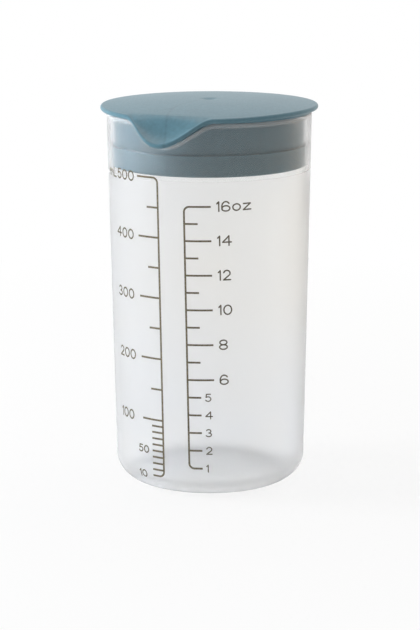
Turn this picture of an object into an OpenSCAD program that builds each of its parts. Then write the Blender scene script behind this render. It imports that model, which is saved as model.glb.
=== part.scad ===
// Measuring shaker: a tapered, see-through cup with two printed volume scales, and a plug lid.
// The cup's rim dips and flares into a beak, and the lid's edge follows it as a pouring lip.
// The origin is the centre of the table face, +Z is up and the lip points along -Y. Millimetres.

/* [Cup] */
// Height of the cup's rim above the table
cup_height = 145; // [130:0.5:165]
// Outer radius of the cup at its rim
rim_radius = 39.6; // [37:0.1:44]
// Outer radius of the wall where it would meet the table, without the rounded corner
base_radius = 37; // [33:0.1:39]
// Thickness of the cup's wall
cup_wall = 1.6; // [1.2:0.1:2.2]
// Radius of the rounded corner between the wall and the base
corner_radius = 9.5; // [6:0.5:12]
// Height of the hollow under the floor
foot_hollow = 2.2; // [1:0.1:3]
// Width of the flat ring that the cup stands on
foot_width = 3; // [2:0.1:5]
// Thickness of the floor
floor_thickness = 2.2; // [1.5:0.1:3]

/* [Pouring lip] */
// Half of the angle over which the lid's edge dips into the lip
lip_angle = 25.5; // [22:0.1:34]
// Angle by which the dip in the cup's rim is wider than the lip, on each side
dip_margin = 2; // [1:0.1:4]
// Depth of the dip in the cup's rim
rim_dip = 8.2; // [5:0.1:9]
// Reach of the cup's beak past its round rim, at the bottom of the dip
beak_reach = 3.6; // [2:0.1:5]
// Height over which the beak flares out of the wall
beak_height = 8; // [6:0.5:11]
// Radius of the round channel that shapes the beak
beak_radius = 16; // [12:0.5:20]
// Reach of the lid's lip past the cup's beak
lip_cover = 4.8; // [3.5:0.1:7]
// Height by which the lid's lip hangs below the bottom of the dip
lip_lap = 0.5; // [0:0.1:1.5]

/* [Lid] */
// Overhang of the lid's round edge past the rim
lid_overhang = 2.4; // [1.8:0.1:4]
// Thickness of the lid's plate and of its rounded edge
lid_thickness = 1.9; // [1.4:0.1:2.4]
// Height of the edge's underside above the rim
edge_lift = 1; // [0.6:0.1:2]
// Height by which the edge sinks from the lid's sides to its front
edge_droop = 1; // [0:0.1:1.2]
// Rise of the domed top above the edge
crown_rise = 1.8; // [0.5:0.1:4]
// Radius of the dimple that the moulding gate leaves in the crown
gate_radius = 3; // [1.5:0.1:4]
// Depth of that dimple
gate_depth = 0.4; // [0.2:0.05:0.8]

/* [Plug] */
// Depth of the plug below the rim
plug_depth = 20.5; // [16:0.5:26]
// Height of the sealing band at the plug's foot
band_height = 8.2; // [5:0.1:11]
// Clearance between the sealing band and the cup's wall
band_clearance = 0.15; // [0.1:0.05:0.4]
// Gap between the plug's neck and the cup's wall
neck_gap = 1.2; // [0.6:0.1:2]
// Thickness of the plug's wall
plug_wall = 1.6; // [1.2:0.1:2.2]

/* [Scales] */
// Thickness of the printed ink
ink_thickness = 0.1; // [0.05:0.01:0.2]
// Width of the printed lines
line_width = 0.7; // [0.4:0.05:1]
// Angle from the pouring lip to the middle of the flat artwork that the cup is rolled over
print_middle = -26.5; // [-40:0.5:0]
// Radius of the bends at the ends of the long lines
bend_radius = 2; // [1.5:0.1:3]
// Angle from the pouring lip to the millilitre line
ml_angle = -5.8; // [-30:0.1:-3]
// Length of the millilitre marks that carry a hundred
ml_long = 9.4; // [7:0.1:12]
// Length of the other millilitre marks
ml_short = 5; // [3:0.1:6.5]
// Angle from the pouring lip to the ounce line
oz_angle = 10; // [5:0.1:40]
// Length of the ounce marks that carry a large number
oz_long = 10; // [7:0.1:12]
// Length of the other ounce marks
oz_short = 5.1; // [3:0.1:6.5]

/* [Hidden] */
$fn = 96;
margin = 10;

// Cup: the wall's slope and its radius at a height
slope = (rim_radius - base_radius) / cup_height;
draft = atan(slope);
wall_across = cup_wall / cos(draft);
floor_top = foot_hollow + floor_thickness;
function outer_radius(z) = base_radius + slope * z;
function inner_radius(z) = outer_radius(z) - wall_across;

// Centre of a circle that touches the wall's line from inside and rests on a level line
function corner_centre(wall_at_zero, level, r) =
    [wall_at_zero + slope * (level + r) - r / cos(draft), level + r];

// Volume scale: the height at which the cup holds a volume in cubic millimetres
ml = 1000;
fluid_ounce = 28.413 * ml;
inner_corner = corner_radius - cup_wall;
// The gap that a rounded corner fills has its centroid this share of the radius from the sharp corner
corner_centroid = 0.2234;
corner_volume = 2 * PI * (inner_radius(floor_top) - corner_centroid * inner_corner)
    * (1 - PI / 4) * pow(inner_corner, 2);
function held(z) = PI * (z - floor_top) / 3 * (pow(inner_radius(z), 2)
    + inner_radius(z) * inner_radius(floor_top) + pow(inner_radius(floor_top), 2)) - corner_volume;
function level(v, z = cup_height / 2, turns = 8) = turns == 0 ? z
    : level(v, z - (held(z) - v) / (PI * pow(inner_radius(z), 2)), turns - 1);
ml_marks = [
    for (v = [10:10:90]) [v, ml_short],
    for (v = [100:50:500]) [v, v % 100 == 0 ? ml_long : ml_short]];
oz_marks = [for (v = [1:16]) [v, v >= 6 && v % 2 == 0 ? oz_long : oz_short]];

// Print: a hair of space under the film, so that it touches the wall and isn't sunk in it
film_gap = 0.01;
// Overlap of a bend with what it joins
lap = 0.02;

// Pouring lip: 1 at its middle and 0 past its end, for an angle from the lip
function dip(a, end) = abs(a) < end ? pow(cos(90 * a / end), 2) : 0;
rim_angle = lip_angle + dip_margin;
beak_bottom = cup_height - rim_dip;
beak_start = beak_bottom - beak_height;
beak_tilt = atan((beak_reach + outer_radius(beak_bottom) - outer_radius(beak_start)) / beak_height);
dip_steps = 28;

// Lid: half thickness, the edge's radius and the domed top
half = lid_thickness / 2;
lid_radius = rim_radius + lid_overhang;
lip_reach = rim_radius + beak_reach + lip_cover - lid_radius;
lip_drop = rim_dip + lip_lap + edge_lift - edge_droop;
edge_height = cup_height + edge_lift + half;
neck_radius = inner_radius(cup_height) - neck_gap;
function crown(r) = edge_height + half + crown_rise * (1 - pow(r / (lid_radius - half), 2));

// Middle line of the lid's flange at an angle from the lip, a curve from the neck to the edge
crease_limit = 1.2;
drop_start = 0.3;
drop_end = 0.25;
function sink(a) = cos(a) > 0 ? pow(cos(a), 2) : 0;
function edge_point(a) = [lid_radius + lip_reach * dip(a, lip_angle) - half,
    edge_height - edge_droop * sink(a) - lip_drop * dip(a, lip_angle)];
function crease_radius(a) = min(rim_radius / max(cos(a), 0.5), edge_point(a)[0] - crease_limit);
function crease_point(a) = [crease_radius(a), crown(crease_radius(a)) - half];
function lip_point(a) = [crease_radius(a) + drop_start * (edge_point(a)[0] - crease_radius(a)),
    edge_point(a)[1] + drop_end * (crease_point(a)[1] - edge_point(a)[1])];
neck_point = [neck_radius, crown(neck_radius) - half];
function flange_controls(a) = [neck_point, crease_point(a), lip_point(a), edge_point(a)];
function along(p, t) = pow(1 - t, 3) * p[0] + 3 * t * pow(1 - t, 2) * p[1]
    + 3 * t * t * (1 - t) * p[2] + pow(t, 3) * p[3];
function heading(p, t) = pow(1 - t, 2) * (p[1] - p[0]) + 2 * t * (1 - t) * (p[2] - p[1])
    + t * t * (p[3] - p[2]);
function upward(v) = [-v[1], v[0]] / norm(v);
function flange_side(p, t, side) = along(p, t) + side * half * upward(heading(p, t));

// Where the flange's underside meets the shoulder that rests on the rim
shoulder_overhang = 0.1;
shoulder_inset = 0.05;
shoulder_radius = rim_radius + shoulder_overhang;
function past_shoulder(q) = q[0] > shoulder_radius || q[1] < cup_height;
function shoulder_end(p, lo = 0, hi = 1, turns = 20) = turns == 0 ? hi
    : past_shoulder(flange_side(p, (lo + hi) / 2, -1)) ? shoulder_end(p, lo, (lo + hi) / 2, turns - 1)
    : shoulder_end(p, (lo + hi) / 2, hi, turns - 1);

// The lid's half section at an angle from the lip, from the crown round the edge to the ceiling
plug_foot = cup_height - plug_depth;
band_top = plug_foot + band_height;
band_step = neck_gap - band_clearance;
foot_round = 1.2;
ceiling_bevel = 1;
flange_steps = 8;
under_steps = 5;
edge_steps = 4;
dome_steps = 4;
function neck(z) = inner_radius(z) - neck_gap;
function band(z) = inner_radius(z) - band_clearance;
function edge_arc(p) = let (n = upward(heading(p, 1)), f = [n[1], -n[0]])
    [for (i = [1:edge_steps - 1]) let (s = 180 * i / edge_steps) p[3] + half * (cos(s) * n + sin(s) * f)];
function underside(p) = let (t = shoulder_end(p), q = flange_side(p, t, -1))
    [for (i = [0:under_steps]) flange_side(p, 1 + (t - 1) * i / under_steps, -1),
     [min(q[0], shoulder_radius) - shoulder_inset, cup_height]];
plug_section = [
    [neck(cup_height), cup_height],
    [neck(band_top + band_step), band_top + band_step],
    [band(band_top), band_top],
    [band(plug_foot + foot_round), plug_foot + foot_round],
    [band(plug_foot) - foot_round, plug_foot],
    [band(plug_foot) - plug_wall, plug_foot],
    [band(band_top) - plug_wall, band_top],
    [neck(band_top + band_step) - plug_wall, band_top + band_step],
    [neck(cup_height) - plug_wall, cup_height]];
dome_width = neck_radius - gate_radius;
ceiling_edge = neck(cup_height) - plug_wall - ceiling_bevel;
function lid_section(a) = let (p = flange_controls(a)) concat(
    [[gate_radius / 2, crown(0) - gate_depth]],
    [for (i = [0:dome_steps - 1]) let (r = gate_radius + dome_width * i / dome_steps) [r, crown(r)]],
    [for (i = [0:flange_steps]) flange_side(p, i / flange_steps, 1)],
    edge_arc(p),
    underside(p),
    plug_section,
    [for (i = [dome_steps:-1:1]) let (r = ceiling_edge * i / dome_steps) [r, crown(r) - lid_thickness]]);

// Angles of the sections: close together across the lip, and wider round the rest
lip_steps = 30;
round_steps = 52;
section_angles = [
    for (i = [0:lip_steps - 1]) lip_angle * (2 * i / lip_steps - 1),
    for (i = [0:round_steps - 1]) lip_angle + (360 - 2 * lip_angle) * i / round_steps];

// A closed solid through half sections that stand round the axis, with a point at each pole
module swept(angles, sections, top, bottom) {
    n = len(angles);
    m = len(sections[0]);
    points = [
        for (i = [0:n - 1]) for (q = sections[i]) [q[0] * sin(angles[i]), -q[0] * cos(angles[i]), q[1]],
        [0, 0, top],
        [0, 0, bottom]];
    faces = [for (i = [0:n - 1]) let (k = (i + 1) % n) each [
        [n * m, i * m, k * m],
        [n * m + 1, k * m + m - 1, i * m + m - 1],
        for (j = [0:m - 2]) each [
            [i * m + j, i * m + j + 1, k * m + j],
            [k * m + j, i * m + j + 1, k * m + j + 1]]]];
    polyhedron(points, faces);
}

// Half section of a cup-shaped body whose corner is rounded
module cup_half(wall_at_zero, level, r, top) {
    c = corner_centre(wall_at_zero, level, r);
    touch = c + r * [cos(draft), -sin(draft)];
    polygon([[0, level], [c[0], level], touch, [wall_at_zero + slope * top, top], [0, top]]);
    translate(c)
    circle(r);
}

// Tilted round channel that pushes the beak out of the wall
module beak_channel(r) {
    axis_back = rim_radius + beak_reach - beak_radius / cos(beak_tilt);
    length = 2 * rim_radius;
    translate([0, -axis_back, beak_bottom])
    rotate([beak_tilt, 0, 0])
    translate([0, 0, -length / 2])
    cylinder(r = r, h = length);
}

// What is cut away above the dipped rim, seen from the front and pushed through it
module dip_cut() {
    width = rim_radius * sin(rim_angle);
    rotate([90, 0, 0])
    linear_extrude(rim_radius + beak_reach + margin)
    polygon([
        for (i = [0:dip_steps])
            let (a = rim_angle * (2 * i / dip_steps - 1))
            [rim_radius * sin(a), cup_height - rim_dip * dip(a, rim_angle)],
        [width, cup_height + margin],
        [-width, cup_height + margin]]);
}

module cup() {
    color([0.9, 0.91, 0.92, 0.55])
    difference() {
        union() {
            rotate_extrude()
            cup_half(base_radius, 0, corner_radius, cup_height);
            beak_channel(beak_radius);
        }
        rotate_extrude()
        cup_half(base_radius - wall_across, floor_top, inner_corner, cup_height + margin);
        beak_channel(beak_radius - cup_wall);
        translate([0, 0, cup_height])
        cylinder(r = 3 * rim_radius, h = 2 * rim_radius);
        foot_centre = corner_centre(base_radius, 0, corner_radius)[0];
        translate([0, 0, -margin])
        cylinder(r = foot_centre - foot_width, h = margin + foot_hollow);
        dip_cut();
    }
}

module lid() {
    color([0.42, 0.56, 0.6])
    swept(section_angles, [for (a = section_angles) lid_section(a)],
        crown(0) - gate_depth, crown(0) - lid_thickness);
}

// Marks [height, length] beside an upright line, which bends into the first and the last mark
module graduations(marks) {
    low = marks[0][0];
    high = marks[len(marks) - 1][0];
    w = line_width / 2;
    translate([-w, low + bend_radius])
    square([line_width, high - low - 2 * bend_radius]);
    for (end = [[low, 1], [high, -1]])
        translate([bend_radius, end[0] + end[1] * bend_radius])
        intersection() {
            difference() {
                circle(bend_radius + w);
                circle(bend_radius - w);
            }
            translate([-2 * bend_radius, end[1] > 0 ? -2 * bend_radius : -lap])
            square(2 * bend_radius + lap);
        }
    for (i = [0:len(marks) - 1]) {
        start = i == 0 || i == len(marks) - 1 ? bend_radius : 0;
        translate([start, marks[i][0] - w])
        square([marks[i][1] - start, line_width]);
    }
}

// Half section of the cup's outside, grown by a thickness
module grown_cup(growth, top) {
    cup_half(base_radius + growth / cos(draft), -growth, corner_radius + growth, top);
}

// A flat print laid on the cup's wall as a film of ink, its x = 0 at an angle from the lip
// The cup is rolled over flat artwork, so off the artwork's middle a print leans against the taper
module on_wall(angle) {
    lean = slope * (angle - print_middle);
    middle = [0, cup_height / 2];
    rotate([0, 0, angle])
    intersection() {
        rotate_extrude()
        difference() {
            grown_cup(film_gap + ink_thickness, cup_height);
            grown_cup(film_gap, cup_height + margin);
        }
        rotate([90, 0, 0])
        linear_extrude(rim_radius + margin)
        translate(middle)
        rotate(lean)
        translate(-middle)
        children();
    }
}

module ml_scale() {
    marks = [for (m = ml_marks) [level(m[0] * ml), m[1]]];
    color([0.33, 0.3, 0.27])
    on_wall(ml_angle)
    mirror([1, 0])
    graduations(marks);
}

module oz_scale() {
    marks = [for (m = oz_marks) [level(m[0] * fluid_ounce), m[1]]];
    color([0.33, 0.3, 0.27])
    on_wall(oz_angle)
    graduations(marks);
}

cup();
lid();
ml_scale();
oz_scale();
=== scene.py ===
# Measuring shaker: a frosted cup with two printed scales, and a soft plug lid with a pouring lip.
# The pieces are sized in millimetres; finishes, lamps and camera are in metres, as the meshes are.
# The lip points along -Y, and the table is z = 0.
import math

import bpy
from mathutils import Matrix, Vector, kdtree


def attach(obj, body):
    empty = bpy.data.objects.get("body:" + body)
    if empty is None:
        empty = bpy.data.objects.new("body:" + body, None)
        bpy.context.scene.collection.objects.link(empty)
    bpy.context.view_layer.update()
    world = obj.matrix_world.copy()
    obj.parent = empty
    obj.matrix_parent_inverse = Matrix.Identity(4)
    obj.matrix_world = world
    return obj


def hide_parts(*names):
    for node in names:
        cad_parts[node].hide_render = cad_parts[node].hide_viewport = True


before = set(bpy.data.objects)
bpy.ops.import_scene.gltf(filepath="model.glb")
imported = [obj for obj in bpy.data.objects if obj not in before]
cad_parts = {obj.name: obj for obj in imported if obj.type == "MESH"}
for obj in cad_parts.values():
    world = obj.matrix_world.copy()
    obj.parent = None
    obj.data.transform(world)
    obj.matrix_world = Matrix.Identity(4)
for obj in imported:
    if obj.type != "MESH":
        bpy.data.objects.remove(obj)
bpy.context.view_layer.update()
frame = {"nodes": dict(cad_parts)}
mm = 0.001
smoothAngle = 40.0  # edges sharper than this stay sharp
mergeGap = 0.01
print("frame loaded:", ", ".join(frame["nodes"]))


def deselectAll():
    bpy.ops.object.select_all(action="DESELECT")


def arcPoints(centre, radius, start, end, steps):
    # points of an arc from one angle to another, in degrees
    turns = [math.radians(start + (end - start) * i / steps) for i in range(steps + 1)]
    return [(centre[0] + radius * math.cos(t), centre[1] + radius * math.sin(t)) for t in turns]


def spunPiece(name, section, steps):
    # a plane merged to one point is drawn out along the half section, and that line is spun round the axis
    deselectAll()
    bpy.ops.mesh.primitive_plane_add(size=mm, location=(0, 0, 0))
    piece = bpy.context.object
    piece.name = piece.data.name = name
    bpy.ops.object.mode_set(mode="EDIT")
    bpy.ops.mesh.merge(type="CENTER")
    bpy.ops.transform.translate(value=(0, -section[0][0] * mm, section[0][1] * mm))
    for here, there in zip(section, section[1:]):
        step = (0, (here[0] - there[0]) * mm, (there[1] - here[1]) * mm)
        bpy.ops.mesh.extrude_region_move(TRANSFORM_OT_translate={"value": step})
    bpy.ops.mesh.select_all(action="SELECT")
    bpy.ops.mesh.spin(steps=steps, angle=2 * math.pi, center=(0, 0, 0), axis=(0, 0, 1))
    bpy.ops.mesh.select_all(action="SELECT")
    bpy.ops.mesh.remove_doubles(threshold=mergeGap * mm)
    bpy.ops.mesh.normals_make_consistent(inside=False)
    bpy.ops.object.mode_set(mode="OBJECT")
    bpy.ops.object.shade_smooth_by_angle(angle=math.radians(smoothAngle))
    print(name, "spun:", len(piece.data.polygons), "faces")
    return piece


def roundPlace(point):
    # radius and height in millimetres, and the angle in radians from the lip
    return math.hypot(point.x, point.y) / mm, point.z / mm, math.atan2(point.x, -point.y)


def setRoundPlace(vertex, radius, height, angle):
    vertex.co = Vector((radius * math.sin(angle), -radius * math.cos(angle), height)) * mm


cup = {
    "height": 145.0,
    "rimRadius": 39.6,
    "baseRadius": 37.0,
    "wall": 1.6,
    "corner": 9.5,
    "footHollow": 2.2,
    "footWidth": 3.0,
    "floor": 2.2,
    "footRound": 0.7,
    "gateRadius": 2.2,  # of the gate's mark under the floor
    "gateFlat": 0.6,  # share of it that is flat
    "gateDepth": 0.4,
    "dipAngle": 27.5,  # half of the angle over which the rim dips
    "rimDip": 8.2,
    "beakReach": 3.6,
    "beakHeight": 8.0,
    "beakRadius": 16.0,
    "beakBlend": 2.2,  # how softly the beak leaves the round wall
    "beakEnd": 44.0,  # past this angle the wall is plain
    "dipFade": 18.0,  # height over which the wall below the dip is drawn down
    "floorRows": (8, 16),  # radii of the rows under the floor, and of those on top of it
    "insideRows": (20, 12, 5),
    "wallRows": (30, 50, 70, 90, 105, 115),  # heights of the rows up the wall
    "rimRows": (118, 144),  # between these the rows are 1 mm apart, so that the rim can dip
    "footSteps": 4,
    "cornerSteps": 18,
    "rimSteps": 12,
    "innerSteps": 16,
    "steps": 240,
}
cupSlope = (cup["rimRadius"] - cup["baseRadius"]) / cup["height"]
cupDraft = math.atan(cupSlope)
cornerCentre = cup["baseRadius"] + cupSlope * cup["corner"] - cup["corner"] / math.cos(cupDraft)
floorTop = cup["footHollow"] + cup["floor"]


def outerRadius(z):
    return cup["baseRadius"] + cupSlope * z


def innerRadius(z):
    return outerRadius(z) - cup["wall"] / math.cos(cupDraft)


def dip(angle, end):
    # 1 at the middle of the lip and 0 past its end
    share = abs(math.degrees(angle)) / end
    return math.cos(math.pi / 2 * share) ** 2 if share < 1 else 0.0


def cupSection():
    draft = math.degrees(cupDraft)
    half = cup["wall"] / 2
    hollow, soft = cup["footHollow"], cup["footRound"]
    ringIn = cornerCentre - cup["footWidth"]
    gateTop = hollow + cup["gateDepth"]
    innerCorner = cup["corner"] - cup["wall"]
    innerCentre = innerRadius(floorTop + innerCorner) - innerCorner / math.cos(cupDraft)
    rimMiddle = (outerRadius(cup["height"] - half) - half / math.cos(cupDraft), cup["height"] - half)
    wallHeights = [*cup["wallRows"], *range(*cup["rimRows"])]
    outside = [(0, gateTop), (cup["gateRadius"] * cup["gateFlat"], gateTop), (cup["gateRadius"], hollow)]
    outside += [(r, hollow) for r in cup["floorRows"]]
    outside += arcPoints((ringIn - soft, hollow - soft), soft, 90, 0, cup["footSteps"])
    outside += arcPoints((ringIn + soft, soft), soft, 180, 270, cup["footSteps"])
    outside += arcPoints((cornerCentre, cup["corner"]), cup["corner"], -90, -draft, cup["cornerSteps"])
    outside += [(outerRadius(z), z) for z in wallHeights]
    rim = arcPoints(rimMiddle, half, -draft, 180 - draft, cup["rimSteps"])
    inside = [(innerRadius(z), z) for z in reversed(wallHeights)]
    inside += arcPoints((innerCentre, floorTop + innerCorner), innerCorner, -draft, -90, cup["innerSteps"])
    inside += [(r, floorTop) for r in (*cup["insideRows"], 0)]
    return outside + rim + inside


def channelRadius(angle, z, radius):
    # how far out the tilted round channel of the beak reaches, along a ray from the axis
    bottom = cup["height"] - cup["rimDip"]
    rise = cup["beakReach"] + cupSlope * cup["beakHeight"]
    tilt = math.atan(rise / cup["beakHeight"])
    back = cup["rimRadius"] + cup["beakReach"] - cup["beakRadius"] / math.cos(tilt)
    middle = back + (z - bottom) * math.tan(tilt)
    across, along = radius ** 2, (radius / math.cos(tilt)) ** 2
    a = math.sin(angle) ** 2 / across + math.cos(angle) ** 2 / along
    b = -2 * middle * math.cos(angle) / along
    c = middle ** 2 / along - 1
    inside = b * b - 4 * a * c
    return (-b + math.sqrt(inside)) / (2 * a) if inside > 0 else 0.0


def softMax(p, q, blend):
    near = max(blend - abs(p - q), 0) / blend
    return max(p, q) + near * near * blend / 4


def pullBeak(piece):
    # the rim is drawn down across the lip, and the wall below it pushed out into the beak
    half = cup["wall"] / 2
    straightTop = cup["height"] - half
    fadeStart = straightTop - cup["rimDip"] - cup["dipFade"]
    plainHeight = piece.data.attributes.new("plainHeight", "FLOAT", "POINT")  # for the rim's finish
    for vertex in piece.data.vertices:
        radius, z, angle = roundPlace(vertex.co)
        plainHeight.data[vertex.index].value = z * mm
        if z < fadeStart or abs(math.degrees(angle)) > cup["beakEnd"]:
            continue
        fromMiddle = radius - (outerRadius(z) - half / math.cos(cupDraft))
        share = min((z - fadeStart) / (straightTop - fadeStart), 1)
        z -= cup["rimDip"] * dip(angle, cup["dipAngle"]) * share
        middle = outerRadius(z) - half / math.cos(cupDraft)
        channel = channelRadius(angle, z, cup["beakRadius"] - half)
        setRoundPlace(vertex, softMax(middle, channel, cup["beakBlend"]) + fromMiddle, z, angle)


cupPiece = spunPiece("shaker_cup", cupSection(), cup["steps"])
pullBeak(cupPiece)


lid = {
    "overhang": 2.4,  # of the round edge past the cup's rim
    "thickness": 1.9,
    "edgeLift": 1.0,
    "edgeDroop": 1.0,  # how far the edge sinks from the sides to the front
    "lipAngle": 25.5,  # half of the angle over which the edge dips
    "crownRise": 1.8,
    "lipCover": 4.8,  # reach of the lip past the beak
    "lipLap": 0.5,
    "gateRadius": 4.6,
    "gateDepth": 0.6,
    "plugDepth": 20.5,
    "bandHeight": 8.2,
    "bandClearance": 0.15,
    "neckGap": 1.2,
    "plugWall": 1.6,
    "footRound": 1.2,
    "grooveDepth": 0.12,  # of the groove above the sealing band
    "grooveHeight": 0.45,
    "edgeBreak": 0.12,  # small round of the plug's other edges
    "dropStart": 0.22,  # how far out the lip starts to fall, and how low it is when it levels off
    "dropEnd": 0.18,
    "creaseLimit": 1.2,
    "creaseSpread": 0.5,
    "shoulderPast": 0.1,
    "seatInset": 0.05,
    "dentMargin": 0.8,
    "ceilingInset": 1.0,
    "axisMargin": 1.0,  # points nearer to the axis stay where they are
    "dentSteps": 7,
    "domeSteps": 12,
    "flangeSteps": 20,
    "edgeSteps": 12,
    "underSteps": 14,
    "ceilingSteps": 6,
    "footSteps": 8,
    "footInnerSteps": 3,
    "seekSteps": 24,
    "steps": 288,
}
lidHalf = lid["thickness"] / 2
lidRadius = cup["rimRadius"] + lid["overhang"]
lipReach = cup["rimRadius"] + cup["beakReach"] + lid["lipCover"] - lidRadius
lipDrop = cup["rimDip"] + lid["lipLap"] + lid["edgeLift"] - lid["edgeDroop"]
edgeHeight = cup["height"] + lid["edgeLift"] + lidHalf
neckRadius = innerRadius(cup["height"]) - lid["neckGap"]
plugFoot = cup["height"] - lid["plugDepth"]
bandTop = plugFoot + lid["bandHeight"]


def crown(r):
    return edgeHeight + lidHalf + lid["crownRise"] * (1 - (r / (lidRadius - lidHalf)) ** 2)


def gateDent(r):
    share = min(r / lid["gateRadius"], 1)
    return lid["gateDepth"] * (1 + math.cos(math.pi * share)) / 2


def sink(r, angle):
    # the front half of the lid bows down towards its edge
    return lid["edgeDroop"] * (max(math.cos(angle), 0) * min(r / lidRadius, 1)) ** 2


def flangeLine(angle):
    # control points of the flange's middle line, from the neck to the edge
    depth = dip(angle, lid["lipAngle"])
    edge = Vector((lidRadius + lipReach * depth - lidHalf,
                   edgeHeight - sink(lidRadius, angle) - lipDrop * depth))
    straight = cup["rimRadius"] / max(math.cos(angle), lid["creaseSpread"])
    creaseAt = min(straight, edge.x - lid["creaseLimit"])
    crease = Vector((creaseAt, crown(creaseAt) - sink(creaseAt, angle) - lidHalf))
    fall = Vector((crease.x + lid["dropStart"] * (edge.x - crease.x),
                   edge.y + lid["dropEnd"] * (crease.y - edge.y)))
    start = Vector((neckRadius, crown(neckRadius) - sink(neckRadius, angle) - lidHalf))
    return start, crease, fall, edge


def onFlange(line, t, side):
    # a point of the flange's top (side 1) or underside (side -1)
    p, q, r, s = line
    place = (1 - t) ** 3 * p + 3 * t * (1 - t) ** 2 * q + 3 * t * t * (1 - t) * r + t ** 3 * s
    heading = (1 - t) ** 2 * (q - p) + 2 * t * (1 - t) * (r - q) + t * t * (s - r)
    return place + side * lidHalf * Vector((-heading.y, heading.x)).normalized()


def shoulderEnd(line):
    # where the underside meets the shoulder that rests on the rim
    low, high = 0.0, 1.0
    for turn in range(lid["seekSteps"]):
        middle = (low + high) / 2
        point = onFlange(line, middle, -1)
        past = point.x > cup["rimRadius"] + lid["shoulderPast"] or point.y < cup["height"]
        low, high = (low, middle) if past else (middle, high)
    return high


def neck(z):
    return innerRadius(z) - lid["neckGap"]


def band(z):
    return innerRadius(z) - lid["bandClearance"]


def plugSection(seatEdge):
    # from the shoulder down the neck, over the groove and the sealing band, and up inside
    top, wall, soft = cup["height"], lid["plugWall"], lid["footRound"]
    groove, high = lid["grooveDepth"], bandTop + lid["grooveHeight"]
    nick, inset = lid["edgeBreak"], wall - soft
    plug = [(seatEdge, top + nick), (seatEdge - nick, top)]
    plug += [(neck(top) + 3 * nick, top), (neck(top), top - 3 * nick)]
    plug += [(neck(high + nick), high + nick), (neck(high) - groove, high - nick)]
    plug += [(neck(bandTop) - groove, bandTop + 2 * nick), (neck(bandTop) - groove / 2, bandTop + nick / 4)]
    plug += [(band(bandTop) - nick, bandTop), (band(bandTop), bandTop - nick)]
    foot = band(plugFoot)
    innerFoot = (foot - wall + inset / 2, plugFoot + inset / 2)
    plug += arcPoints((foot - soft, plugFoot + soft), soft, 0, -90, lid["footSteps"])
    plug += arcPoints(innerFoot, inset / 2, -90, -180, lid["footInnerSteps"])
    plug += [(band(bandTop) - wall, bandTop), (neck(high) - wall - groove, high)]
    plug += [(neck(top) - wall, top - nick)]
    return plug


def lidSection(angle):
    line = flangeLine(angle)
    end = shoulderEnd(line)
    seat = onFlange(line, end, -1)
    seatEdge = min(seat.x, cup["rimRadius"] + lid["shoulderPast"]) - lid["seatInset"]
    outward = (line[3] - line[2]).normalized()
    upward = Vector((-outward.y, outward.x))
    dents, domes, flanges = lid["dentSteps"], lid["domeSteps"], lid["flangeSteps"]
    edges, unders, ceilings = lid["edgeSteps"], lid["underSteps"], lid["ceilingSteps"]
    dentRadii = [lid["gateRadius"] * (i + 1) / dents for i in range(dents)]
    domeStart = lid["gateRadius"] + lid["dentMargin"]
    domeRadii = [domeStart + (neckRadius - domeStart) * i / domes for i in range(domes)]
    top = [(r, crown(r) - sink(r, angle) - gateDent(r)) for r in (0, *dentRadii, *domeRadii)]
    flange = [onFlange(line, i / flanges, 1) for i in range(flanges + 1)]
    turns = [math.pi * i / edges for i in range(1, edges)]
    edge = [line[3] + lidHalf * (math.cos(t) * upward + math.sin(t) * outward) for t in turns]
    under = [onFlange(line, 1 + (end - 1) * i / unders, -1) for i in range(unders + 1)]
    ceilingEdge = neckRadius - lid["plugWall"] - lid["ceilingInset"]
    ceilingRadii = [ceilingEdge * i / ceilings for i in range(ceilings, -1, -1)]
    ceiling = [(r, crown(r) - sink(r, angle) - lid["thickness"]) for r in ceilingRadii]
    return [tuple(p) for p in top + flange + edge + under + plugSection(seatEdge) + ceiling]


def pullLip(piece, section):
    # each point slides from the round lid's section to the same point of the section at its own angle
    tree = kdtree.KDTree(len(section))
    for index, place in enumerate(section):
        tree.insert((*place, 0), index)
    tree.balance()
    known = {}
    for vertex in piece.data.vertices:
        radius, z, angle = roundPlace(vertex.co)
        if radius < lid["axisMargin"] or math.cos(angle) <= 0:
            continue
        index = tree.find((radius, z, 0))[1]
        key = round(angle, 5)
        if key not in known:
            known[key] = lidSection(angle)
        setRoundPlace(vertex, *known[key][index], angle)


roundSection = lidSection(math.pi)
lidPiece = spunPiece("shaker_lid", roundSection, lid["steps"])
pullLip(lidPiece, roundSection)


numbers = {
    "largeHeight": 4.1,
    "smallHeight": 3.2,
    "mlStrokes": (0.6, 0.52),  # width of the large and the small numbers' strokes
    "ozStrokes": (0.53, 0.43),
    "strokeStep": 0.4,  # straight strokes are cut this fine, so that they follow the round wall
    "film": 0.1,
    "lift": 0.01,
    "gap": 0.32,  # between letters, as a share of their height
    "printMiddle": -26.5,  # angle of the middle of the flat artwork that the cup is rolled over
    "mlAngle": -5.8,  # angles of the two long lines
    "ozAngle": 10.0,
    "mlStarts": (-24.0, -12.35),  # where large and small numbers start, across from the long line
    "mlTopStarts": (-22.5, -31.6),  # where 500 and its unit start
    "mlTopDrop": 0.3,
    "ozStarts": (12.2, 6.5),
    "ozTopStart": 12.1,
    "capSteps": (0.5, 0.8, 0.97),  # where a stroke's round end is cut, as shares of its radius
    "roundness": 2,
    "closedGap": 1e-6,
    "mergeGap": 0.002,
    "smoothAngle": 50.0,
    "fillSteps": 8,
}
fluidOunce = 28.413  # in millilitres
millilitre = 1000.0  # in cubic millimetres
cornerCentroid = 0.2234  # of what a round corner cuts from a square one, as a share of its radius


def curl(cx, cy, rx, ry, start, end, steps=18):
    # points of an oval stroke, from one angle to another
    return [(cx + rx * x, cy + ry * y) for x, y in arcPoints((0, 0), 1, start, end, steps)]


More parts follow.
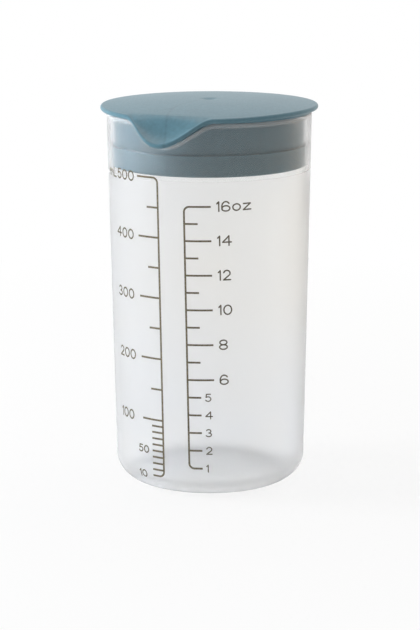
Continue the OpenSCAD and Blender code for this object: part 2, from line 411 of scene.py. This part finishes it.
# each letter: its width and its strokes, on a height of 1
letters = {
    "0": (0.82, [curl(0.41, 0.49, 0.41, 0.49, 90, 450, 36)]),
    "1": (0.20, [[(0.0, 0.80), (0.20, 1.0)], [(0.20, 1.0), (0.20, 0.0)]]),
    "2": (0.76, [curl(0.38, 0.69, 0.34, 0.31, 165, -38) + [(0.02, 0.0)], [(0.02, 0.0), (0.76, 0.0)]]),
    "3": (0.74, [curl(0.35, 0.755, 0.30, 0.245, 155, -88), curl(0.35, 0.255, 0.38, 0.255, 88, -155)]),
    "4": (0.91, [[(0.66, 1.0), (0.0, 0.34)], [(0.0, 0.34), (0.91, 0.34)], [(0.66, 1.0), (0.66, 0.0)]]),
    "5": (0.74, [[(0.15, 1.0), (0.68, 1.0)], [(0.15, 1.0), (0.09, 0.56)],
                 curl(0.36, 0.32, 0.38, 0.32, 134, -150)]),
    "6": (0.84, [curl(0.42, 0.28, 0.42, 0.28, 90, 450, 32), curl(0.42, 0.48, 0.42, 0.52, 205, 38, 20)]),
    "8": (0.81, [curl(0.405, 0.75, 0.375, 0.25, 90, 450, 30), curl(0.405, 0.25, 0.405, 0.25, 84, 444, 30)]),
    "o": (0.80, [curl(0.40, 0.36, 0.40, 0.34, 90, 450, 32)]),
    "z": (0.85, [[(0.04, 0.68), (0.80, 0.68)], [(0.80, 0.68), (0.02, 0.04)], [(0.02, 0.04), (0.85, 0.04)]]),
    "m": (1.20, [[(0.0, 0.0), (0.0, 0.66)], curl(0.30, 0.40, 0.30, 0.26, 180, 0) + [(0.60, 0.0)],
                 curl(0.90, 0.40, 0.30, 0.26, 180, 0) + [(1.20, 0.0)]]),
    "L": (0.66, [[(0.0, 1.0), (0.0, 0.0)], [(0.0, 0.0), (0.66, 0.0)]]),
}


def fillHeight(volume):
    # height at which the cup holds a volume in millilitres
    innerCorner = cup["corner"] - cup["wall"]
    base = innerRadius(floorTop)
    corner = 2 * math.pi * (base - cornerCentroid * innerCorner) * (1 - math.pi / 4) * innerCorner ** 2
    z = cup["height"] / 2
    for turn in range(numbers["fillSteps"]):
        r = innerRadius(z)
        held = math.pi * (z - floorTop) / 3 * (r * r + r * base + base * base) - corner
        z -= (held - volume * millilitre) / (math.pi * r * r)
    return z


def wallFoot(z):
    # radius of the cup's outside at a height, and the way that it faces there
    level = cup["corner"] * (1 - math.sin(cupDraft))
    if z >= level:
        return outerRadius(z), (math.cos(cupDraft), -math.sin(cupDraft))
    rise = (z - cup["corner"]) / cup["corner"]
    return cornerCentre + cup["corner"] * math.sqrt(1 - rise * rise), (math.sqrt(1 - rise * rise), rise)


def rolledOn(lineAngle, x, y):
    # a place in the flat artwork, x across from a scale's long line, as an angle from the lip and a height
    middle = math.radians(numbers["printMiddle"])
    midRadius = outerRadius(cup["height"] / 2)
    lineArc = (math.radians(lineAngle) - middle) * midRadius
    arc = lineArc + x
    z = y + cupSlope * (arc ** 2 - lineArc ** 2) / (2 * midRadius)
    return middle + arc / wallFoot(z)[0], z


def finer(points):
    # the same line with more points, none further apart than the step
    line = [points[0]]
    for here, there in zip(points, points[1:]):
        count = math.ceil(math.dist(here, there) / numbers["strokeStep"])
        line += [tuple(Vector(here).lerp(Vector(there), i / count)) for i in range(1, count + 1)]
    return line


def roundEnd(tip, inner, width):
    # places past a stroke's end, each with the share of the stroke's radius that is left there
    away = (Vector(tip) - Vector(inner)).normalized()
    return [(Vector(tip) + away * width / 2 * s, math.sqrt(1 - s * s)) for s in numbers["capSteps"]]


def addStroke(curve, points, width):
    # one bevelled line with round ends, or a closed ring
    closed = math.dist(points[0], points[-1]) < numbers["closedGap"]
    line = [(point, 1.0) for point in points]
    if closed:
        line.pop()
    else:
        first, last = roundEnd(*points[:2], width), roundEnd(*points[:-3:-1], width)
        line = first[::-1] + line + last
    spline = curve.splines.new("POLY")
    spline.points.add(len(line) - 1)
    spline.use_cyclic_u = closed
    for target, (place, radius) in zip(spline.points, line):
        target.co = (place[0], place[1], 0, 1)
        target.radius = radius


def printedLabels(name, lineAngle, labels):
    # flat strokes are drawn side by side, made a mesh, and each label is laid on the wall
    parts = []
    for text, start, middle, tall, width in labels:
        curve = bpy.data.curves.new(name, "CURVE")
        curve.dimensions = "3D"
        curve.bevel_depth = width / 2
        curve.bevel_resolution = numbers["roundness"]
        curve.use_fill_caps = True
        height, across = tall - width, width / 2
        for letter in text:
            wide, strokes = letters[letter]
            for stroke in strokes:
                places = [(start + across + x * height, middle + (y - 0.5) * height) for x, y in stroke]
                addStroke(curve, finer(places), width)
            across += (wide + numbers["gap"]) * height
        part = bpy.data.objects.new(name, curve)
        bpy.context.collection.objects.link(part)
        deselectAll()
        part.select_set(True)
        bpy.context.view_layer.objects.active = part
        bpy.ops.object.convert(target="MESH")
        part = bpy.context.object
        squash = numbers["film"] / width
        for vertex in part.data.vertices:
            x, y, depth = vertex.co
            angle, z = rolledOn(lineAngle, x, y)
            radius, facing = wallFoot(z)
            out = numbers["lift"] + numbers["film"] / 2 + depth * squash
            setRoundPlace(vertex, radius + out * facing[0], z + out * facing[1], angle)
        parts.append(part)
    deselectAll()
    for part in parts:
        part.select_set(True)
    bpy.context.view_layer.objects.active = parts[0]
    bpy.ops.object.join()
    piece = bpy.context.object
    piece.name = piece.data.name = name
    bpy.ops.object.mode_set(mode="EDIT")
    bpy.ops.mesh.select_all(action="SELECT")
    bpy.ops.mesh.remove_doubles(threshold=numbers["mergeGap"] * mm)
    bpy.ops.mesh.normals_make_consistent(inside=False)
    bpy.ops.object.mode_set(mode="OBJECT")
    bpy.ops.object.shade_smooth_by_angle(angle=math.radians(numbers["smoothAngle"]))
    print(name, "printed:", len(piece.data.polygons), "faces")
    return piece


def label(value, start, height, look):
    return (str(value), start, height, *look)


letterHeights = (numbers["largeHeight"], numbers["smallHeight"])
large, small = zip(letterHeights, numbers["mlStrokes"])
largeStart, smallStart = numbers["mlStarts"]
topStart, unitStart = numbers["mlTopStarts"]
topHeight = fillHeight(500) - numbers["mlTopDrop"]
mlLabels = [label(v, largeStart, fillHeight(v), large) for v in (100, 200, 300, 400)]
mlLabels += [label(500, topStart, topHeight, large), label("mL", unitStart, topHeight, large)]
mlLabels += [label(v, smallStart, fillHeight(v), small) for v in (10, 50)]

large, small = zip(letterHeights, numbers["ozStrokes"])
largeStart, smallStart = numbers["ozStarts"]
ozLabels = [label(v, largeStart, fillHeight(v * fluidOunce), large) for v in (6, 8, 10, 12, 14)]
ozLabels += [label("16oz", numbers["ozTopStart"], fillHeight(16 * fluidOunce), large)]
ozLabels += [label(v, smallStart, fillHeight(v * fluidOunce), small) for v in (1, 2, 3, 4, 5)]
mlNumbers = printedLabels("ml_numbers", numbers["mlAngle"], mlLabels)
ozNumbers = printedLabels("oz_numbers", numbers["ozAngle"], ozLabels)


noiseSpan = (0.3, 0.7)  # nearly all of a noise lies between these


def newFinish(name):
    material = bpy.data.materials.new(name)
    material.use_nodes = True
    tree = material.node_tree
    return material, tree, tree.nodes["Principled BSDF"]


def addNode(tree, kind, **inputs):
    node = tree.nodes.new(kind)
    for key, value in inputs.items():
        node.inputs[key].default_value = value
    return node


def objectNoise(tree, scale, detail):
    place = tree.nodes.get("Texture Coordinate") or tree.nodes.new("ShaderNodeTexCoord")
    noise = addNode(tree, "ShaderNodeTexNoise", Scale=scale, Detail=detail)
    tree.links.new(place.outputs["Object"], noise.inputs["Vector"])
    return noise.outputs["Fac"]


def axes(tree):
    # x, y and z of the place on the piece
    place = tree.nodes.new("ShaderNodeSeparateXYZ")
    tree.links.new(tree.nodes["Texture Coordinate"].outputs["Object"], place.inputs[0])
    return place.outputs


def spread(tree, value, low, high, span=noiseSpan):
    # maps a span of the value onto a range, and stops at its ends
    node = tree.nodes.new("ShaderNodeMapRange")
    for key, number in zip(("From Min", "From Max", "To Min", "To Max"), (*span, low, high)):
        node.inputs[key].default_value = number
    tree.links.new(value, node.inputs["Value"])
    return node.outputs["Result"]


def tint(tree, value, dark, light):
    node = tree.nodes.new("ShaderNodeValToRGB")
    for element, position, colour in zip(node.color_ramp.elements, noiseSpan, (dark, light)):
        element.position = position
        element.color = (*colour, 1)
    tree.links.new(value, node.inputs["Fac"])
    return node.outputs["Color"]


def heightRamp(tree, height, stops):
    # a value that runs through stops of height in millimetres and value
    reach = cup["height"] * mm
    share = spread(tree, height, 0.0, 1.0, (0.0, reach))
    node = tree.nodes.new("ShaderNodeValToRGB")
    ramp = node.color_ramp
    for extra in stops[2:]:
        ramp.elements.new(0.5)
    for element, (z, value) in zip(ramp.elements, stops):
        element.position = z * mm / reach
        element.color = (value, value, value, 1)
    tree.links.new(share, node.inputs["Fac"])
    return node.outputs["Color"]


def calc(tree, operation, first, second=0.0):
    # one step of arithmetic on sockets or plain numbers
    node = tree.nodes.new("ShaderNodeMath")
    node.operation = operation
    for socket, value in zip(node.inputs, (first, second)):
        if isinstance(value, float):
            socket.default_value = value
        else:
            tree.links.new(value, socket)
    return node.outputs[0]


def shaded(tree, colour, factor):
    node = tree.nodes.new("ShaderNodeVectorMath")
    node.operation = "SCALE"
    tree.links.new(colour, node.inputs[0])
    tree.links.new(factor, node.inputs["Scale"])
    return node.outputs["Vector"]


def addBump(tree, shader, value, depth, strength):
    bump = addNode(tree, "ShaderNodeBump", Strength=strength, Distance=depth)
    tree.links.new(value, bump.inputs["Height"])
    tree.links.new(bump.outputs["Normal"], shader.inputs["Normal"])


cupFinish = {
    "cool": (0.943, 0.952, 0.964),
    "warm": (0.966, 0.953, 0.924),
    "cloud": (28, 2),  # scale and detail of the faint clouds
    "cloudStrength": 0.6,
    "paintedWarmLightPlace": (0.034, -0.018, 0.094),  # where the painted warm light on the plastic is strongest
    "paintedWarmLightReach": (0.0, 0.09),
    "paintedWarmLightStrength": (0.9, 0.1),  # there, and at the end of its reach
    "roughness": (0.28, 0.30),
    "clearness": ((0.0, 0.70), (3.5, 0.92), (142.8, 0.92), (143.4, 0.74)),  # less in the foot and the rim
    "baseRoughness": (0.65, 0.28),  # the thick base scatters more than the wall
    "baseFade": (0.002, 0.013),
    "sealPolish": -0.13,  # the wall is smoother where the plug seals
    "sealFade": (0.1230, 0.1242),
    "bend": 1.15,
    "gloss": 0.08,
    "glossRoughness": 0.4,
    "grain": (600, 3),
}


def frostedPlastic():
    material, tree, shader = newFinish("frosted_plastic")
    cloud = calc(tree, "MULTIPLY", objectNoise(tree, *cupFinish["cloud"]), cupFinish["cloudStrength"])
    place = tree.nodes["Texture Coordinate"].outputs["Object"]
    # a cream tint painted towards the upper right stands in for warm light from the right; it is laid over
    # the plastic's own random cool and warm clouds
    away = tree.nodes.new("ShaderNodeVectorMath")
    away.operation = "DISTANCE"
    away.inputs[1].default_value = cupFinish["paintedWarmLightPlace"]
    tree.links.new(place, away.inputs[0])
    paintedWarmLight = spread(tree, away.outputs["Value"], *cupFinish["paintedWarmLightStrength"], cupFinish["paintedWarmLightReach"])
    cloudAndPaintedWarmth = calc(tree, "MAXIMUM", cloud, paintedWarmLight)
    colour = tint(tree, cloudAndPaintedWarmth, cupFinish["cool"], cupFinish["warm"])
    tree.links.new(colour, shader.inputs["Base Color"])
    z = axes(tree)[2]
    grain = spread(tree, objectNoise(tree, *cupFinish["grain"]), *cupFinish["roughness"])
    base = spread(tree, z, *cupFinish["baseRoughness"], cupFinish["baseFade"])
    seal = spread(tree, z, 0.0, cupFinish["sealPolish"], cupFinish["sealFade"])
    roughness = calc(tree, "ADD", calc(tree, "MAXIMUM", grain, base), seal)
    tree.links.new(roughness, shader.inputs["Roughness"])
    height = tree.nodes.new("ShaderNodeAttribute")
    height.attribute_name = "plainHeight"
    clearness = heightRamp(tree, height.outputs["Fac"], cupFinish["clearness"])
    tree.links.new(clearness, shader.inputs["Transmission Weight"])
    shader.inputs["IOR"].default_value = cupFinish["bend"]
    shader.inputs["Coat Weight"].default_value = cupFinish["gloss"]
    shader.inputs["Coat Roughness"].default_value = cupFinish["glossRoughness"]
    return material


lidFinish = {
    "dark": (0.084, 0.192, 0.244),
    "light": (0.096, 0.214, 0.268),
    "cloud": (60, 4),
    "roughness": (0.32, 0.40),
    "grain": (1800, 3),
    "grainDepth": 0.00003,
    "grainStrength": 0.2,
    "mottle": (650, 2),  # scale and detail of the fine mottling
    "mottleTone": (0.92, 1.08),
    "flowBow": 0.0042,  # the flow line from the gate to the lip bows aside by this much
    "flowReach": 0.0396,
    "flowStart": (-0.004, -0.002),  # it fades out towards the gate
    "flowWidth": 0.0009,
    "flowTone": 0.15,
    "partingAngle": 54.5,  # from the lip to the parting line of the plug's mould
    "partingWidth": 0.00022,
    "partingTop": (0.1445, 0.145),
    "partingTone": 0.14,
    "bandHighlightWidth": 0.00035,  # of the painted highlight just below the top of the sealing band
    "bandHighlightTone": -0.3,  # below zero, because the painted highlight is paler
}


def flowLine(tree, x, y):
    # 1 along the bowed line where the plastic ran together, from the gate to the lip
    along = calc(tree, "MULTIPLY", calc(tree, "ABSOLUTE", y), math.pi / lidFinish["flowReach"])
    aside = calc(tree, "MULTIPLY", calc(tree, "SINE", along), lidFinish["flowBow"])
    away = calc(tree, "ABSOLUTE", calc(tree, "ADD", x, aside))
    line = spread(tree, away, 1.0, 0.0, (0.0, lidFinish["flowWidth"]))
    return calc(tree, "MULTIPLY", line, spread(tree, y, 1.0, 0.0, lidFinish["flowStart"]))


def partingLine(tree, x, y, z):
    # 1 along the two upright lines that the mould's halves leave on the plug
    turn = math.radians(lidFinish["partingAngle"])
    alongX = calc(tree, "MULTIPLY", x, math.cos(turn))
    alongY = calc(tree, "MULTIPLY", y, math.sin(turn))
    across = calc(tree, "ADD", alongX, alongY)
    line = spread(tree, calc(tree, "ABSOLUTE", across), 1.0, 0.0, (0.0, lidFinish["partingWidth"]))
    return calc(tree, "MULTIPLY", line, spread(tree, z, 1.0, 0.0, lidFinish["partingTop"]))


def bandLine(tree, z):
    # 1 along the painted highlight on the rounded upper edge of the sealing band
    middle = bandTop * mm - lidFinish["bandHighlightWidth"]
    away = calc(tree, "ABSOLUTE", calc(tree, "SUBTRACT", z, middle))
    return spread(tree, away, 1.0, 0.0, (0.0, lidFinish["bandHighlightWidth"]))


def softPlastic():
    material, tree, shader = newFinish("soft_plastic")
    colour = tint(tree, objectNoise(tree, *lidFinish["cloud"]), lidFinish["dark"], lidFinish["light"])
    x, y, z = axes(tree)
    tone = spread(tree, objectNoise(tree, *lidFinish["mottle"]), *lidFinish["mottleTone"])
    for line, depth in ((flowLine(tree, x, y), lidFinish["flowTone"]),
                        (partingLine(tree, x, y, z), lidFinish["partingTone"]),
                        # the band line is a painted highlight, which makes the base colour paler there
                        (bandLine(tree, z), lidFinish["bandHighlightTone"])):
        kept = calc(tree, "SUBTRACT", 1.0, calc(tree, "MULTIPLY", line, depth))
        tone = calc(tree, "MULTIPLY", tone, kept)
    tree.links.new(shaded(tree, colour, tone), shader.inputs["Base Color"])
    grain = objectNoise(tree, *lidFinish["grain"])
    tree.links.new(spread(tree, grain, *lidFinish["roughness"]), shader.inputs["Roughness"])
    addBump(tree, shader, grain, lidFinish["grainDepth"], lidFinish["grainStrength"])
    return material


inkFinish = {
    "dark": (0.07, 0.058, 0.036),
    "light": (0.19, 0.160, 0.104),
    "lineTone": 1.35,  # the long thin lines are printed a little paler than the numbers
    "roughness": (0.55, 0.75),
    "grain": (1500, 3),
    "grainDepth": 0.00002,
    "grainStrength": 0.2,
}


def printingInk(name, tone):
    material, tree, shader = newFinish(name)
    grain = objectNoise(tree, *inkFinish["grain"])
    dark, light = ([tone * part for part in inkFinish[key]] for key in ("dark", "light"))
    tree.links.new(tint(tree, grain, dark, light), shader.inputs["Base Color"])
    tree.links.new(spread(tree, grain, *inkFinish["roughness"]), shader.inputs["Roughness"])
    addBump(tree, shader, grain, inkFinish["grainDepth"], inkFinish["grainStrength"])
    return material


def paint(piece, material):
    piece.data.materials.clear()
    piece.data.materials.append(material)


paint(cupPiece, frostedPlastic())
paint(lidPiece, softPlastic())
numberInk = printingInk("number_ink", 1.0)
lineInk = printingInk("line_ink", inkFinish["lineTone"])
for piece, ink in ((mlNumbers, numberInk), (ozNumbers, numberInk),
                   (frame["nodes"]["ml_scale"], lineInk), (frame["nodes"]["oz_scale"], lineInk)):
    paint(piece, ink)
print("finishes set")


for piece, body, slot in ((cupPiece, "cup", "cup_plastic"), (lidPiece, "lid", "lid_plastic"),
                          (mlNumbers, "cup", "scale_ink"), (ozNumbers, "cup", "scale_ink")):
    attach(piece, body)
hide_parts("cup")
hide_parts("lid")


studio = {
    "floorSize": 14.0,
    "floorCuts": 8,
    "floorColour": (0.9, 0.9, 0.9),
    "floorRoughness": 0.9,
    "floorGlow": (0.86, 1.0),  # share of plain white in what the camera sees of the floor, near and far
    "floorFade": (0.10, 0.45),
    "worldLight": 0.30,
    "aim": (0, 0, 0.08),  # what the lamps point at
}
# a low lamp that glints would burn out the lid's top, seen from the far side
lamps = {
    "key": {
        "place": (-0.86, -0.30, 0.30),
        "size": 0.56,
        "power": 11.5,
        "colour": (0.92, 0.96, 1),
        "glint": False,
    },
    "top": {
        "place": (0.0, 0.15, 1.0),
        "size": 0.9,
        "power": 3.0,
        "colour": (1, 1, 1),
        "glint": True,
    },
    "warm": {
        "place": (0.60, 0.67, 0.25),
        "size": 0.5,
        "power": 1.5,
        "colour": (1, 0.68, 0.42),
        "glint": False,
    },
}


def seenDirectly(tree):
    # 1 for what the camera sees, straight or through gloss and clear plastic, and 0 past a dull surface
    path = tree.nodes.new("ShaderNodeLightPath")
    value = path.outputs["Is Camera Ray"]
    for ray in ("Is Glossy Ray", "Is Transmission Ray"):
        value = calc(tree, "MAXIMUM", value, path.outputs[ray])
    first = calc(tree, "LESS_THAN", path.outputs["Diffuse Depth"], 0.5)
    return calc(tree, "MULTIPLY", value, first)


def mixed(tree, share, first, second, target):
    mix = tree.nodes.new("ShaderNodeMixShader")
    tree.links.new(share, mix.inputs["Fac"])
    tree.links.new(first, mix.inputs[1])
    tree.links.new(second, mix.inputs[2])
    tree.links.new(mix.outputs[0], target)


def whiteRoom():
    world = bpy.data.worlds.new("white_room")
    world.use_nodes = True
    tree = world.node_tree
    tree.nodes.clear()
    lighting = addNode(tree, "ShaderNodeBackground", Color=(1, 1, 1, 1), Strength=studio["worldLight"])
    white = addNode(tree, "ShaderNodeBackground", Color=(1, 1, 1, 1), Strength=1.0)
    out = tree.nodes.new("ShaderNodeOutputWorld")
    mixed(tree, seenDirectly(tree), lighting.outputs[0], white.outputs[0], out.inputs["Surface"])
    bpy.context.scene.world = world


def paleFloor():
    deselectAll()
    cuts = studio["floorCuts"]
    bpy.ops.mesh.primitive_grid_add(x_subdivisions=cuts, y_subdivisions=cuts, size=studio["floorSize"])
    floor = bpy.context.object
    floor.name = "floor"
    material, tree, shader = newFinish("pale_floor")
    shader.inputs["Base Color"].default_value = (*studio["floorColour"], 1)
    shader.inputs["Roughness"].default_value = studio["floorRoughness"]
    shader.inputs["Specular IOR Level"].default_value = 0.0
    glow = addNode(tree, "ShaderNodeEmission", Color=(1, 1, 1, 1), Strength=1.0)
    place = tree.nodes.new("ShaderNodeTexCoord")
    reach = tree.nodes.new("ShaderNodeVectorMath")
    reach.operation = "LENGTH"
    tree.links.new(place.outputs["Object"], reach.inputs[0])
    near = spread(tree, reach.outputs["Value"], *studio["floorGlow"], studio["floorFade"])
    path = tree.nodes.new("ShaderNodeLightPath")
    through = calc(tree, "MAXIMUM", near, path.outputs["Is Transmission Ray"])
    share = calc(tree, "MULTIPLY", through, seenDirectly(tree))
    surface = tree.nodes["Material Output"].inputs["Surface"]
    mixed(tree, share, shader.outputs[0], glow.outputs[0], surface)
    paint(floor, material)


def softLamp(name, place, size, power, colour, glint):
    lamp = bpy.data.lights.new(name, "AREA")
    lamp.shape = "DISK"
    lamp.size, lamp.energy, lamp.color = size, power, colour
    holder = bpy.data.objects.new(name, lamp)
    holder.location = place
    holder.visible_glossy = glint
    aim = Vector(studio["aim"]) - Vector(place)
    holder.rotation_euler = aim.to_track_quat("-Z", "Y").to_euler()
    bpy.context.collection.objects.link(holder)


view = {
    "place": (0.3187, -0.7329, 0.243),
    "pitch": 77.39,
    "turn": 23.5,
    "roll": -0.19,
    "lens": 118.67,
    "sensor": 36,
}


def addCamera():
    data = bpy.data.cameras.new("camera")
    data.sensor_width, data.lens = view["sensor"], view["lens"]
    camera = bpy.data.objects.new("camera", data)
    turned = Matrix.Identity(4)
    for angle, axis in (("turn", "Z"), ("pitch", "X"), ("roll", "Z")):
        turned = turned @ Matrix.Rotation(math.radians(view[angle]), 4, axis)
    camera.matrix_world = Matrix.Translation(view["place"]) @ turned
    bpy.context.collection.objects.link(camera)
    bpy.context.scene.camera = camera


whiteRoom()
paleFloor()
for name, settings in lamps.items():
    softLamp(name, **settings)
addCamera()
bpy.context.scene.view_settings.view_transform = "Standard"
print("studio set")
